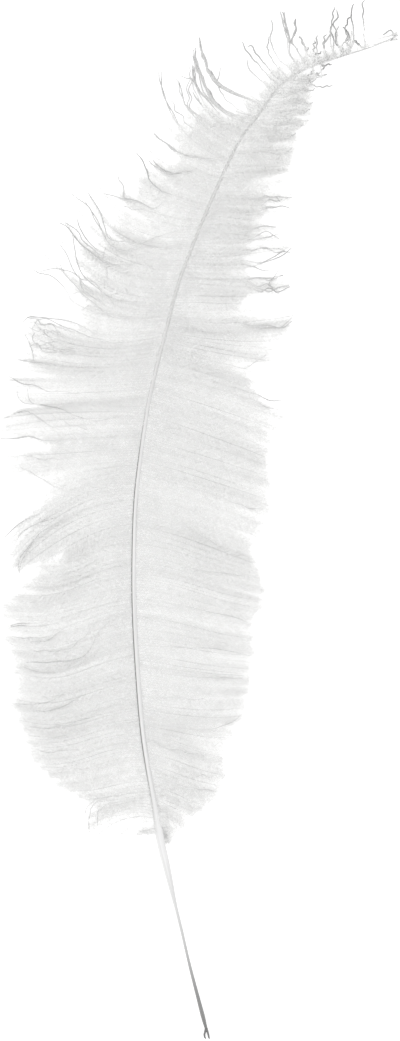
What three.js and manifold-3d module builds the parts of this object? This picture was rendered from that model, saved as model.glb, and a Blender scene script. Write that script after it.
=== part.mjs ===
// A white ostrich plume, lying on a flat surface. Millimetres, with +X to the plume's right, +Y from
// the quill's end towards the tip, and +Z up off the surface. The origin is on the surface, under the
// middle of the plume's length and width.
//
// The plume grew as one piece. A round quill carries on upwards as the shaft, which arches a little
// clear of the surface, and soft locks of barbs grow from both of its sides and sag to the surface.
import * as THREE from "three";
import { mergeVertices } from "three/addons/utils/BufferGeometryUtils.js";
import Module from "manifold-3d";

const wasm = await Module();
wasm.setup();

const UP = new THREE.Vector3(0, 0, 1);

// ---------------------------------------------------------------- driving dimensions

// The middle of the quill and shaft, seen from above, from the quill's split end to the tip.
const SHAFT_COURSE = [
  [3.7, -271], [-1, -253], [-5.4, -236], [-9.8, -217], [-13.8, -200.5], [-17.5, -184], [-21, -169],
  [-24, -151], [-27.6, -131], [-30.5, -111], [-33.7, -71], [-35, -42], [-35, -15.5], [-34, 11],
  [-31.8, 32], [-27, 64], [-19, 98], [-11.7, 126], [-0.5, 155.5], [11.7, 182], [20.7, 200.5],
  [31.3, 215], [43.5, 231], [54, 238], [64, 242], [79.5, 247], [93, 251.5], [105, 257],
];

// Along the shaft from the quill's end: how thick it is, and how far its underside is off the surface.
const SHAFT_RADIUS = [
  [0, 0.9], [8, 1.25], [20, 0.9], [42, 0.7], [68, 0.85], [82, 1.6], [96, 2.2], [110, 2.1],
  [130, 1.6], [300, 1.25], [450, 1], [540, 0.65], [593, 0.35],
];
const SHAFT_LIFT = [[0, 0], [60, 0.8], [110, 3], [200, 5.5], [320, 7], [430, 7], [520, 5], [593, 3.5]];
const SHAFT_STEP = 12; // from one ring of the shaft to the next
const SHAFT_SIDES = 8;

// The quill's end is split into two short prongs, which leave it a little above the end.
const PRONG_ENDS = [[2.6, -273.6], [5, -275]];
const PRONG_ROOT = 5;
const PRONG_FULL_SHARE = 0.3; // it stays thick over this share of the way from the quill's end
const PRONG_RADIUS = 0.6;
const PRONG_END_RADIUS = 0.25;
const PRONG_SIDES = 6;

// Each lock: how far up the shaft it grows, where its tip lies (x, y), how far its middle bows
// towards the plume's tip, and the share of its length over which it stays wide, if not the usual one.
const LEFT_LOCKS = [
  [112, -33, -166, 0], [119, -61, -166, 6, 0.5], [129, -58, -150, 0], [141, -73, -141, 0],
  [153, -83, -131, 0], [165, -90, -119, -1], [177, -93, -107, -3], [188, -98, -97, -4],
  [200, -95, -86, -4], [213, -98, -73, -4], [226, -101, -61, -4], [240, -104, -45, -3],
  [253, -90, -34, -2], [265, -81, -23, 0], [277, -96, -27, 6], [289, -98, -21, 12],
  [298, -103, -9, 8, 0.5], [306, -99, 23, 0], [314, -101, 34, 0], [323, -105, 44, 0, 0.6],
  [332, -103, 53, 3, 0.5], [342, -96, 63, -2, 0.6], [351, -102, 76, -1, 0.5],
  [362, -90, 87, -3, 0.9], [374, -92, 105, -5, 0.9], [385, -87, 133, -9, 0.45],
  [395, -76, 148, -11, 0.45], [405, -76, 157, -10, 0.45], [416, -64, 160, -8, 0.45],
  [428, -58, 174, -11, 0.45], [442, -49, 188, -4, 0.6], [454, -33, 195, -3, 0.6],
  [464, -23, 206, -5, 0.6], [472, -22, 237, -9, 0.45], [481, -12, 233, -6, 0.5],
  [489, -2, 256, -12, 0.5], [500, 3, 243, -8, 0.5], [511, 21, 254, -6, 0.3], [523, 39, 266, -6, 0.3],
  [537, 50, 268, -4, 0.3], [553, 72, 273, -1, 0.3], [570, 86, 275, 0, 0.3],
];
const RIGHT_LOCKS = [
  [117, -17, -170, 0], [128, -3, -155, 0], [140, 8, -146, 0], [151, 12, -135, 0],
  [162, 10, -123, 0], [171, 21, -104, -3], [184, 22, -95, 0, 0.9], [197, 25, -85, 0, 0.9],
  [211, 26, -72, 0, 0.9], [225, 25, -61, 0, 0.9], [236, 26, -51, 1], [246, 31, -44, 1],
  [257, 31, -35, 1], [268, 29, -26, 1], [282, 25, -15, 1], [293, 31, -4, 1], [303, 34, 7, 1],
  [313, 35, 18, 0], [324, 34, 29, 0], [334, 34, 37, 1], [342, 40, 47, 1], [349, 42, 55, 1, 0.8],
  [356, 44, 63, 1, 0.6], [366, 28, 75, 0], [374, 38, 89, -1], [382, 50, 107, -4], [392, 33, 115, 0],
  [404, 48, 125, -1, 0.6], [415, 48, 143, -3, 0.6], [430, 41, 150, 0], [440, 39, 159, 0],
  [449, 49, 166, 0, 0.6], [461, 45, 185, 0], [474, 48, 194, 0], [486, 50, 204, 0],
  [498, 57, 214, 0], [510, 61, 224, 0], [527, 68, 237, 0],
];
const USUAL_FULL_SHARE = 0.75;

// A lock's width at its root, along the shaft, its height at the ridge, and its size at its tip.
const LOCK_WIDTH = [[110, 9], [130, 14], [150, 19], [400, 18], [435, 22], [500, 19], [520, 10], [571, 6]];
const LOCK_HEIGHT = 2.4;
const LOCK_END_WIDTH = 1.2;
const LOCK_END_HEIGHT = 0.9;
const TAPER_END = 1.15; // the share of its length at which it would have narrowed all the way
const LOCK_RINGS = [0, 0.28, 0.55, 0.8, 1]; // the shares of its length where it is measured
const SAG_SHARE = 0.7; // a lock is down on the surface from this share of its length to its tip
const SHINGLE = 0.5; // every other lock lies this much higher, over its neighbours' edges
const UNDER_SHAFT = 0.2; // a lock's root starts this far above the shaft's underside

const BARB_WHITE = 0xf1f0ed;

// ---------------------------------------------------------------- shape helpers

/** The value at `where` on a line through [where, value] pairs. */
function along(profile, where) {
  const last = profile.length - 1;
  const next = profile.findIndex(([place]) => place >= where);
  if (next === 0) return profile[0][1];
  if (next === -1) return profile[last][1];
  const [fromPlace, fromValue] = profile[next - 1];
  const [toPlace, toValue] = profile[next];
  return THREE.MathUtils.mapLinear(where, fromPlace, toPlace, fromValue, toValue);
}

/** A closed solid through rings of equally many points, listed anticlockwise as seen from ahead. */
function loft(rings) {
  const sides = rings[0].length;
  const top = (rings.length - 1) * sides;
  const corners = [];
  for (let from = 0; from < top; from += sides) {
    for (let side = 0; side < sides; side++) {
      const a = from + side;
      const b = from + ((side + 1) % sides);
      corners.push(a, b, b + sides, a, b + sides, a + sides);
    }
  }
  for (let side = 1; side + 1 < sides; side++) {
    corners.push(0, side + 1, side, top, top + side, top + side + 1);
  }
  const places = rings.flat().flatMap((point) => point.toArray());
  return new wasm.Manifold(new wasm.Mesh({
    numProp: 3,
    vertProperties: new Float32Array(places),
    triVerts: new Uint32Array(corners),
  }));
}

/** The level direction across a heading, so that across, up and the heading are right-handed. */
function levelAcross(heading) {
  return new THREE.Vector3().crossVectors(UP, heading).normalize();
}

/** A round ring about `centre`, square to `heading`. */
function roundRing(centre, heading, radius, sides) {
  const across = levelAcross(heading);
  const upward = new THREE.Vector3().crossVectors(heading, across).normalize();
  return Array.from({ length: sides }, (_, index) => {
    const turn = ((index + 0.5) / sides) * 2 * Math.PI;
    return centre
      .clone()
      .addScaledVector(across, radius * Math.cos(turn))
      .addScaledVector(upward, radius * Math.sin(turn));
  });
}

/** The outside alone: the triangles joined to the highest corner, with pockets between locks filled. */
function outsideOnly(geometry) {
  const corners = Array.from(geometry.index.array);
  const places = geometry.attributes.position;
  const joinedTo = Array.from({ length: places.count }, (_, corner) => corner);
  const leader = (corner) => {
    let found = corner;
    while (joinedTo[found] !== found) found = joinedTo[found];
    joinedTo[corner] = found;
    return found;
  };
  for (let at = 0; at < corners.length; at += 3) {
    joinedTo[leader(corners[at + 1])] = leader(corners[at]);
    joinedTo[leader(corners[at + 2])] = leader(corners[at]);
  }
  const higher = (best, corner) => (places.getZ(corner) > places.getZ(best) ? corner : best);
  const outside = leader(corners.reduce(higher));
  geometry.setIndex(corners.filter((corner) => leader(corner) === outside));
  return mergeVertices(geometry);
}

// ---------------------------------------------------------------- quill and shaft

const coursePoints = SHAFT_COURSE.map(([x, y]) => new THREE.Vector3(x, y, 0));
const course = new THREE.CatmullRomCurve3(coursePoints, false, "centripetal");
const shaftLength = course.getLength();

/** The middle of the shaft at a distance from the quill's end. */
function shaftPoint(distance) {
  const point = course.getPointAt(THREE.MathUtils.clamp(distance / shaftLength, 0, 1));
  point.z = along(SHAFT_LIFT, distance) + along(SHAFT_RADIUS, distance);
  return point;
}

/** The quill and shaft: one tube that follows the course. */
function makeShaft() {
  const count = Math.round(shaftLength / SHAFT_STEP);
  const rings = Array.from({ length: count + 1 }, (_, index) => {
    const distance = (index / count) * shaftLength;
    const heading = course.getTangentAt(index / count);
    return roundRing(shaftPoint(distance), heading, along(SHAFT_RADIUS, distance), SHAFT_SIDES);
  });
  return loft(rings);
}

/** One prong of the quill's split end, from inside the quill out to its own end. */
function makeProng([endX, endY]) {
  const root = shaftPoint(PRONG_ROOT);
  const end = new THREE.Vector3(endX, endY, PRONG_END_RADIUS);
  const heading = new THREE.Vector3().subVectors(end, root).normalize();
  return loft([
    roundRing(root, heading, PRONG_RADIUS, PRONG_SIDES),
    roundRing(shaftPoint(0).lerp(end, PRONG_FULL_SHARE), heading, PRONG_RADIUS, PRONG_SIDES),
    roundRing(end, heading, PRONG_END_RADIUS, PRONG_SIDES),
  ]);
}

// ---------------------------------------------------------------- locks

/** A lock: flat below and ridged above, it grows from the shaft, bows, sags and narrows to its tip. */
function makeLock([rootDistance, tipX, tipY, bow, fullShare = USUAL_FULL_SHARE], index) {
  const root = shaftPoint(rootDistance);
  const tip = new THREE.Vector3(tipX, tipY, 0);
  const reach = new THREE.Vector3().subVectors(tip, root).setZ(0);
  const towardsTip = new THREE.Vector3(-reach.y, reach.x, 0).normalize();
  if (reach.x < 0) towardsTip.negate();
  const bend = root.clone().add(tip).divideScalar(2).addScaledVector(towardsTip, 2 * bow);
  const plan = new THREE.QuadraticBezierCurve3(root.clone().setZ(0), bend.setZ(0), tip);

  const width = along(LOCK_WIDTH, rootDistance);
  const rootLift = along(SHAFT_LIFT, rootDistance) + UNDER_SHAFT;
  const layer = (index % 2) * SHINGLE;

  const rings = LOCK_RINGS.map((share) => {
    const sag = THREE.MathUtils.smoothstep(share, 0, SAG_SHARE);
    const taper = THREE.MathUtils.smoothstep(share, fullShare, TAPER_END);
    const halfWidth = THREE.MathUtils.lerp(width, LOCK_END_WIDTH, Math.sqrt(taper)) / 2;
    const height = THREE.MathUtils.lerp(LOCK_HEIGHT, LOCK_END_HEIGHT, share);
    const base = plan.getPoint(share).setZ(rootLift * (1 - sag) + layer);
    const across = levelAcross(plan.getTangent(share));
    return [
      base.clone().addScaledVector(across, halfWidth),
      base.clone().addScaledVector(UP, height),
      base.clone().addScaledVector(across, -halfWidth),
    ];
  });
  return loft(rings);
}

// ---------------------------------------------------------------- the feather, fused as it grew

/** The shaft with its prongs and every lock, joined in one closed solid. */
function makeFeather() {
  const grown = [...LEFT_LOCKS.map(makeLock), ...RIGHT_LOCKS.map(makeLock), ...PRONG_ENDS.map(makeProng)];
  const fused = grown.reduce((whole, piece) => whole.add(piece), makeShaft()).getMesh();
  const surface = new THREE.BufferGeometry();
  surface.setAttribute("position", new THREE.BufferAttribute(fused.vertProperties, 3));
  surface.setIndex(new THREE.BufferAttribute(fused.triVerts, 1));
  const keratin = new THREE.MeshStandardMaterial({ color: BARB_WHITE, roughness: 0.9, metalness: 0 });
  const feather = new THREE.Mesh(outsideOnly(mergeVertices(surface)), keratin);
  feather.name = "feather";
  return feather;
}

const plume = new THREE.Group();
plume.add(makeFeather());

export default plume;
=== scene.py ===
import bpy
import numpy as np
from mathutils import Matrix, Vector


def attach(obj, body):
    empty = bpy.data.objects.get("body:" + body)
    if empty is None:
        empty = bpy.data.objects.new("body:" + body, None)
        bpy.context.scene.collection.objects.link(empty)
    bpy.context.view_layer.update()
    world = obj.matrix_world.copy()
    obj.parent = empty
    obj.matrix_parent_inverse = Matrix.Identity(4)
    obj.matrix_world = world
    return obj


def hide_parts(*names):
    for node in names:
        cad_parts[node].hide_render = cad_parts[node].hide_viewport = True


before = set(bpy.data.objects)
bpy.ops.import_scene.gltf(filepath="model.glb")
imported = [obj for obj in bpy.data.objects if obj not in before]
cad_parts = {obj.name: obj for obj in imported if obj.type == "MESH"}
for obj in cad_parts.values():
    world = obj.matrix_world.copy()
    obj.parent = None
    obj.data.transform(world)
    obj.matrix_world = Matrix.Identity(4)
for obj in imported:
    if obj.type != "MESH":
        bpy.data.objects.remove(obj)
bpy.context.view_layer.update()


# ------------------------------------------------------------------ quill and shaft
# The quill is a bare tapering tube of pale horn, split at its lower end, where painted shade greys it. It
# carries on as the shaft between the vanes, with a fine dark line of painted shade along its left side
# standing in for a furrow and its shaded flank, and grew as one length.

MM = 0.001
COURSE_STEPS = 24  # how many places the shaft's curve has from one of its points to the next

# The middle of the quill and shaft, seen from above, from the split end to the tip.
SHAFT_COURSE = [
    (3.7, -271), (-1, -253), (-5.4, -236), (-9.8, -217), (-13.8, -200.5), (-17.5, -184),
    (-21, -169), (-24, -151), (-27.6, -131), (-30.5, -111), (-33.7, -71), (-35, -42),
    (-35, -15.5), (-34, 11), (-31.8, 32), (-26.8, 64), (-18.5, 98), (-11, 126), (0.3, 155.5),
    (11.7, 182), (20.7, 200.5), (31.3, 215), (43.5, 231), (54, 238), (64, 242), (79.5, 247),
    (93, 251.5), (105, 257),
]

# Along the shaft from the quill's end: its radius, and how far its underside is off the floor.
SHAFT_RADIUS = [(0, 0.6), (8, 1.1), (20, 0.9), (42, 0.7), (68, 0.85), (82, 1.6), (96, 2.2),
                (110, 2.1), (130, 1.6), (300, 1.25), (450, 1.05), (535, 0.65), (560, 0.42), (593, 0.27)]
SHAFT_LIFT = [(0, 0), (60, 0.8), (110, 3), (200, 5.5), (320, 7), (430, 7), (520, 5), (593, 3.5)]
SHAFT_RINGS = 260
SHAFT_SIDES = 24

# The split end's two prongs, from where they leave the quill: one hooks in, the other runs on.
PRONGS = [
    [(3.2, -269), (2.7, -270.8), (2.3, -272.4), (2.5, -273.8), (3.1, -274.6)],
    [(3.4, -269), (4, -270.8), (4.4, -272.4), (4.7, -273.8), (4.9, -274.7)],
]
PRONG_RADII = [0.6, 0.55, 0.5, 0.47, 0.3]
PRONG_HEIGHTS = [0.9, 0.8, 0.7, 0.6, 0.5]

# The painted shade line, a dark line standing in for a furrow and the shaft's shaded flank, lies this far
# up the left side, in radians above level, and fades at this loss of cosine from its middle. It darkens
# and fades over these metres from the split end, and so does the painted shade on the shaft's crown
# between the upper vanes.
SHADE_LINE_TURN = 0.8
SHADE_LINE_WIDTH = 0.07
SHADE_LINE_CORE = 0.2  # how much of its width is at full darkness
SHADE_LINE_STARTS, SHADE_LINE_FADES = (0.1, 0.16), (0.3, 0.345)
SHADE_LINE_LOSS = 0.85  # how much of it is gone where it has faded
SHADE_LINE_STRENGTH = 0.92
SHADE_LINE_GREY = (0.16, 0.16, 0.155, 1)
CROWN_SHADE_STARTS, CROWN_SHADE_FADES = (0.31, 0.37), (0.49, 0.52)
CROWN_SHADE_RISE = (0.1, 0.9)  # the sines above level between which the crown's painted shade grows
CROWN_SHADE_STRENGTH = 0.3
CROWN_SHADE_GREY = (0.4, 0.4, 0.39, 1)

# The grain is drawn out along the horn: how fine it is across it, up and down it, and along it.
GRAIN_FINENESS = (2.5, 2.5, 30)
GRAIN_STRENGTH = 0.4
GRAIN_SPREAD = (0.3, 0.75)  # the noise between these goes from no grain to full
GRAIN_GREY = (0.5, 0.5, 0.49, 1)

# Grey along the quill and shaft, by metres from the split end. The dark grey at the split end is painted
# shade, standing in for the quill's shaded side.
HORN_TONES_AND_SHADE = [(0, 0.1), (0.008, 0.17), (0.02, 0.2), (0.035, 0.36), (0.05, 0.54), (0.07, 0.7),
              (0.095, 0.82), (0.12, 0.76), (0.29, 0.76), (0.335, 0.74), (0.49, 0.7), (0.51, 0.9),
              (0.555, 0.8), (0.588, 0.6)]


def smooth_course(points, steps):
    """A centripetal Catmull-Rom curve through the points, with `steps` places to each span.

    A span is a cubic Hermite curve between two points. Its slopes weigh the chords before and after
    it by the square roots of their lengths, and each end is carried on by its mirrored neighbour."""
    points = np.asarray(points, float)
    mirrored = np.vstack([2 * points[0] - points[1], points, 2 * points[-1] - points[-2]])
    before, start, end, after = mirrored[:-3], mirrored[1:-2], mirrored[2:-1], mirrored[3:]
    gap_before = np.sqrt(np.linalg.norm(start - before, axis=1))[:, None]
    gap = np.sqrt(np.linalg.norm(end - start, axis=1))[:, None]
    gap_after = np.sqrt(np.linalg.norm(after - end, axis=1))[:, None]
    chord = (end - start) / gap
    leave = ((start - before) / gap_before - (end - before) / (gap_before + gap) + chord) * gap
    arrive = (chord - (after - start) / (gap + gap_after) + (after - end) / gap_after) * gap
    u = np.linspace(0, 1, steps, endpoint=False)[None, :, None]
    spans = (
        (2 * u**3 - 3 * u**2 + 1) * start[:, None]
        + (u**3 - 2 * u**2 + u) * leave[:, None]
        + (3 * u**2 - 2 * u**3) * end[:, None]
        + (u**3 - u**2) * arrive[:, None]
    )
    return np.vstack([spans.reshape(-1, points.shape[1]), points[-1]])


def distances(course):
    """How far along the course each of its places lies."""
    return np.concatenate([[0], np.cumsum(np.linalg.norm(np.diff(course, axis=0), axis=1))])


def places_along(course, where):
    """The places at the distances `where` along a course, on straight lines between its own."""
    walked = distances(course)
    return np.stack([np.interp(where, walked, axis) for axis in course.T], axis=-1)


def along(profile, where):
    """The value at `where` on straight lines through the profile's (place, value) pairs."""
    place, value = np.transpose(profile)
    return np.interp(where, place, value)


def smoothstep(value, start, end):
    """0 before start, 1 after end, and 3s squared less 2s cubed of the share s between them."""
    share = np.clip((value - start) / (end - start), 0, 1)
    return share * share * (3 - 2 * share)


def unit(vectors):
    """The vectors, each made 1 long."""
    return vectors / np.maximum(np.linalg.norm(vectors, axis=-1, keepdims=True), 1e-9)


shaft_course = smooth_course(SHAFT_COURSE, COURSE_STEPS)
shaft_length = distances(shaft_course)[-1]


def shaft_middle(distance):
    """The middle of the shaft at a distance from the quill's end: its course, lift and radius."""
    plan = places_along(shaft_course, distance)
    height = along(SHAFT_LIFT, distance) + along(SHAFT_RADIUS, distance)
    return np.concatenate([plan, height[..., None]], axis=-1)


def level_across(heading):
    """The level direction to the left of a heading: (-y, x, 0), made 1 long."""
    return unit(np.stack([-heading[..., 1], heading[..., 0], np.zeros(heading.shape[:-1])], -1))


def tubes(paths, radii, sides):
    """Closed tubes about many paths of equally many places, as (corners, triangles).

    A corner is its path's place, plus the radius times the turn's cosine to the left, plus the
    radius times its sine towards the upper side, which is square to the left and to the heading."""
    tubes_made, rings = radii.shape
    heading = unit(np.gradient(paths, axis=1))
    left = level_across(heading)
    upper = np.cross(heading, left)
    turn = np.arange(sides) / sides * 2 * np.pi
    reach = radii[:, :, None, None]
    corners = (
        paths[:, :, None]
        + reach * np.cos(turn)[:, None] * left[:, :, None]
        + reach * np.sin(turn)[:, None] * upper[:, :, None]
    )
    side = np.arange(sides)
    here = (np.arange(rings - 1) * sides)[:, None] + side
    beside = (np.arange(rings - 1) * sides)[:, None] + (side + 1) % sides
    wall = np.concatenate([
        np.stack([here, beside, beside + sides], -1).reshape(-1, 3),
        np.stack([here, beside + sides, here + sides], -1).reshape(-1, 3),
    ])
    fan = np.arange(1, sides - 1)
    foot = np.stack([0 * fan, fan + 1, fan], -1)
    top = (rings - 1) * sides + np.stack([0 * fan, fan, fan + 1], -1)
    one = np.concatenate([wall, foot, top])
    first = np.arange(tubes_made) * rings * sides
    return corners.reshape(-1, 3), (one[None] + first[:, None, None]).reshape(-1, 3)


def put_in_scene(name, data):
    """A new object that holds the data, linked to the scene."""
    made = bpy.data.objects.new(name, data)
    bpy.context.scene.collection.objects.link(made)
    return made


def make_piece(name, corners, triangles, material, slot, **attributes):
    """A mesh piece from corners in millimetres, with a float or vector attribute for each name."""
    mesh = bpy.data.meshes.new(name)
    mesh.vertices.add(len(corners))
    mesh.vertices.foreach_set("co", (corners * MM).astype(np.float32).ravel())
    mesh.loops.add(3 * len(triangles))
    mesh.loops.foreach_set("vertex_index", triangles.astype(np.int32).ravel())
    mesh.polygons.add(len(triangles))
    mesh.polygons.foreach_set("loop_start", np.arange(0, 3 * len(triangles), 3, dtype=np.int32))
    for attribute, values in attributes.items():
        vector = values.ndim == 2
        layer = mesh.attributes.new(attribute, "FLOAT_VECTOR" if vector else "FLOAT", "POINT")
        layer.data.foreach_set("vector" if vector else "value", values.astype(np.float32).ravel())
    mesh.update(calc_edges=True)
    mesh.validate()
    mesh.materials.append(material)
    piece = put_in_scene(name, mesh)
    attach(piece, "root")
    return piece


class Wire:
    """A socket in a material's tree. Sums and products with it add Math nodes and give new wires."""

    def __init__(self, tree, socket=None):
        self.tree = tree
        self.socket = socket

    def node(self, kind, settings, inputs, output=0):
        """Adds a node, applies its settings, then sets or links its inputs, and gives an output."""
        made = self.tree.nodes.new(kind)
        for setting, value in settings.items():
            if setting == "stops":
                self.set_stops(made.color_ramp, value)
            else:
                setattr(made, setting, value)
        for place, value in inputs.items():
            if isinstance(value, Wire):
                self.tree.links.new(value.socket, made.inputs[place])
            else:
                made.inputs[place].default_value = value
        return Wire(self.tree, made.outputs[output] if len(made.outputs) else None)

    @staticmethod
    def set_stops(ramp, stops):
        """Gives a colour ramp its (place, grey) stops."""
        while len(ramp.elements) < len(stops):
            ramp.elements.new(1)
        for element, (place, grey) in zip(ramp.elements, stops):
            element.position = place
            element.color = (grey, grey, grey, 1)

    def math(self, operation, first, second):
        return self.node("ShaderNodeMath", {"operation": operation}, {0: first, 1: second})

    def __add__(self, other):
        return self.math("ADD", self, other)

    def __radd__(self, other):
        return self.math("ADD", other, self)

    def __sub__(self, other):
        return self.math("SUBTRACT", self, other)

    def __rsub__(self, other):
        return self.math("SUBTRACT", other, self)

    def __mul__(self, other):
        return self.math("MULTIPLY", self, other)

    def __rmul__(self, other):
        return self.math("MULTIPLY", other, self)

    def parts(self):
        """The three numbers of this wire's vector."""
        split = self.node("ShaderNodeSeparateXYZ", {}, {0: self}).socket.node
        return [Wire(self.tree, socket) for socket in split.outputs]

    def ramp(self, start, end):
        """0 before start, 1 after end, and smooth between them."""
        return self.node("ShaderNodeMapRange", {"interpolation_type": "SMOOTHSTEP"},
                         {"Value": self, "From Min": start, "From Max": end})

    def mixed(self, low, high):
        """The colour between low and high that this wire's value picks."""
        return self.node("ShaderNodeMix", {"data_type": "RGBA"}, {0: self, 6: low, 7: high}, 2)


def new_material(name):
    """An empty material and a wire into its tree."""
    material = bpy.data.materials.new(name)
    material.use_nodes = True
    material.node_tree.nodes.clear()
    return material, Wire(material.node_tree)


def give_surface(start, inputs):
    """Ends a material's tree with a shader that has these inputs."""
    shader = start.node("ShaderNodeBsdfPrincipled", {}, inputs)
    start.node("ShaderNodeOutputMaterial", {}, {"Surface": shader})


def horn():
    """Pale horn with grain along it, painted shade greying the quill's split end, a dark line of painted
    shade along its left flank, and painted shade on its crown.
    """
    material, start = new_material("pale_horn")
    place = start.node("ShaderNodeAttribute", {"attribute_name": "shaft_place"}, {}, "Vector")
    leftness, rise, distance = place.parts()

    # painted shade greys the quill's split end through these tones
    tone = start.node("ShaderNodeValToRGB", {"stops": HORN_TONES_AND_SHADE}, {0: distance})
    grain_place = start.node("ShaderNodeVectorMath", {"operation": "MULTIPLY"},
                             {0: place, 1: GRAIN_FINENESS})
    grain = start.node("ShaderNodeTexNoise", {}, {"Vector": grain_place, "Scale": 1, "Detail": 3})
    speckled = (GRAIN_STRENGTH * grain.ramp(*GRAIN_SPREAD)).mixed(tone, GRAIN_GREY)

    # painted shade: a dark line along the shaft's left flank, standing in for a furrow and its shaded
    # side
    towards_shade_line = leftness * float(np.cos(SHADE_LINE_TURN)) + rise * float(np.sin(SHADE_LINE_TURN))
    shade_line = towards_shade_line.ramp(1 - SHADE_LINE_WIDTH, 1 - SHADE_LINE_CORE * SHADE_LINE_WIDTH)
    along_vane = distance.ramp(*SHADE_LINE_STARTS) * (1 - SHADE_LINE_LOSS * distance.ramp(*SHADE_LINE_FADES))
    shade_lined = (SHADE_LINE_STRENGTH * shade_line * along_vane).mixed(speckled, SHADE_LINE_GREY)
    # painted shade darkens the top of the shaft between the upper vanes
    upper_vane = distance.ramp(*CROWN_SHADE_STARTS) * (1 - distance.ramp(*CROWN_SHADE_FADES))
    colour = (CROWN_SHADE_STRENGTH * rise.ramp(*CROWN_SHADE_RISE) * upper_vane).mixed(shade_lined, CROWN_SHADE_GREY)

    bump = start.node("ShaderNodeBump", {}, {"Strength": 0.3, "Distance": 0.0002, "Height": grain})
    give_surface(start, {
        "Base Color": colour, "Roughness": 0.42 + 0.15 * grain, "IOR": 1.54, "Normal": bump,
    })
    return material


def make_quill_and_shaft():
    """The shaft's tube with the two prongs of its split end let into it."""
    distance = np.linspace(0, shaft_length, SHAFT_RINGS)
    shaft_radii = along(SHAFT_RADIUS, distance)
    shaft, shaft_triangles = tubes(shaft_middle(distance)[None], shaft_radii[None], SHAFT_SIDES)

    prong_heights = np.tile(PRONG_HEIGHTS, (len(PRONGS), 1))[..., None]
    prong_paths = np.concatenate([np.array(PRONGS), prong_heights], -1)
    prong_radii = np.tile(PRONG_RADII, (len(PRONGS), 1))
    prongs, prong_triangles = tubes(prong_paths, prong_radii, SHAFT_SIDES)

    corners = np.vstack([shaft, prongs])
    triangles = np.vstack([shaft_triangles, prong_triangles + len(shaft)])
    turn = np.arange(SHAFT_SIDES) / SHAFT_SIDES * 2 * np.pi
    rings = SHAFT_RINGS + len(PRONG_RADII) * len(PRONGS)
    from_end = np.concatenate([distance, np.zeros(rings - SHAFT_RINGS)])
    shaft_place = np.stack([
        np.tile(np.cos(turn), rings),
        np.tile(np.sin(turn), rings),
        np.repeat(from_end * MM, SHAFT_SIDES),
    ], -1)
    return make_piece("quill_and_shaft", corners, triangles, horn(), "quill",
                      shaft_place=shaft_place)


make_quill_and_shaft()


# ------------------------------------------------------------------ vanes
# Barbs grow from both sides of the shaft, about 1.4 mm apart. Each is a fine keratin strand fringed
# on both sides with soft barbules, and they hang together in locks that part towards their tips.

# Each lock: how far up the shaft it grows, where its tip lies (x, y), how far its middle bows
# towards the plume's tip, and the share of its length over which it stays full, if not the usual.
# A vane's partings say how deeply each lock parts from the next: 1 fully, and 0 not at all.
USUAL_FULL_SHARE = 0.75
LEFT_LOCKS = [
    (112, -33, -166, 0), (119, -61, -166, 6, 0.5), (129, -58, -150, 0), (141, -73, -141, 0),
    (153, -83, -131, 0), (165, -90, -119, -1), (177, -93, -107, -3), (188, -98, -97, -4),
    (200, -95, -86, -4), (213, -98, -73, -4), (226, -101, -61, -4), (240, -104, -45, -3),
    (253, -90, -34, -2), (265, -81, -23, 0, 0.82), (277, -96, -27, 5, 0.82), (289, -98, -21, 9),
    (298, -103, -9, 8, 0.5), (306, -99, 23, 0), (314, -101, 34, 0), (323, -105, 44, 0, 0.6),
    (332, -103, 53, 3, 0.5), (342, -96, 63, -2, 0.6), (351, -102, 76, -1, 0.5),
    (362, -90, 87, -4, 0.9), (374, -90, 108, -8, 0.9), (385, -87, 133, -9, 0.45),
    (395, -76, 148, -11, 0.45), (405, -76, 157, -10, 0.45), (416, -64, 160, -8, 0.45),
    (428, -58, 174, -11, 0.45), (442, -49, 188, -4, 0.6), (454, -33, 195, -3, 0.6),
    (464, -23, 206, -5, 0.6), (472, -22, 237, -9, 0.45), (481, -12, 233, -6, 0.5),
    (489, -2, 256, -12, 0.5), (500, 3, 243, -8, 0.5), (511, 21, 254, -6, 0.3),
    (523, 39, 266, -6, 0.3), (537, 50, 268, -4, 0.3), (553, 72, 273, -1, 0.3),
    (570, 86, 275, 0, 0.3),
]
LEFT_PARTINGS = [
    0.4, 0.2, 0.1, 0, 0, 0.05, 0.15, 0.1, 0.1, 0.1, 0.15, 0.1, 0.1, 1, 0.1, 0.2, 1, 0.1, 1, 0.2,
    0.5, 0.5, 0.6, 0, 0.9, 0.8, 0.7, 0.7, 0.8, 0.8, 0.7, 0.6, 0.6, 1, 1, 1, 1, 1, 1, 1, 1,
]
RIGHT_LOCKS = [
    (117, -17, -170, 0), (128, -3, -155, 0), (140, 8, -146, 0), (151, 12, -135, 0),
    (162, 10, -123, 0), (171, 19, -107, -2), (184, 22, -95, -2, 0.9), (197, 25, -85, -1, 0.9),
    (211, 26, -72, 0, 0.9), (225, 25, -61, 0, 0.9), (236, 26, -51, 1), (246, 31, -44, 1),
    (257, 31, -35, 1), (268, 29, -26, 1), (282, 25, -15, 1), (293, 31, -4, 1), (303, 34, 7, 1),
    (313, 35, 18, 0), (324, 34, 29, 0), (334, 34, 36, 1), (342, 35, 45, 1), (349, 43, 52, 1, 0.8),
    (356, 37, 63, 1, 0.6), (366, 28, 75, 0), (374, 38, 89, -1), (382, 50, 107, -4), (392, 33, 115, 0),
    (404, 48, 125, -1, 0.6), (415, 48, 143, -3, 0.6), (430, 41, 150, 0), (440, 39, 159, 0),
    (449, 49, 166, 0, 0.6), (461, 45, 185, 0), (474, 48, 194, 0), (486, 50, 204, 0),
    (498, 57, 214, 0), (510, 61, 224, 0), (527, 68, 237, 0),
]
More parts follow.
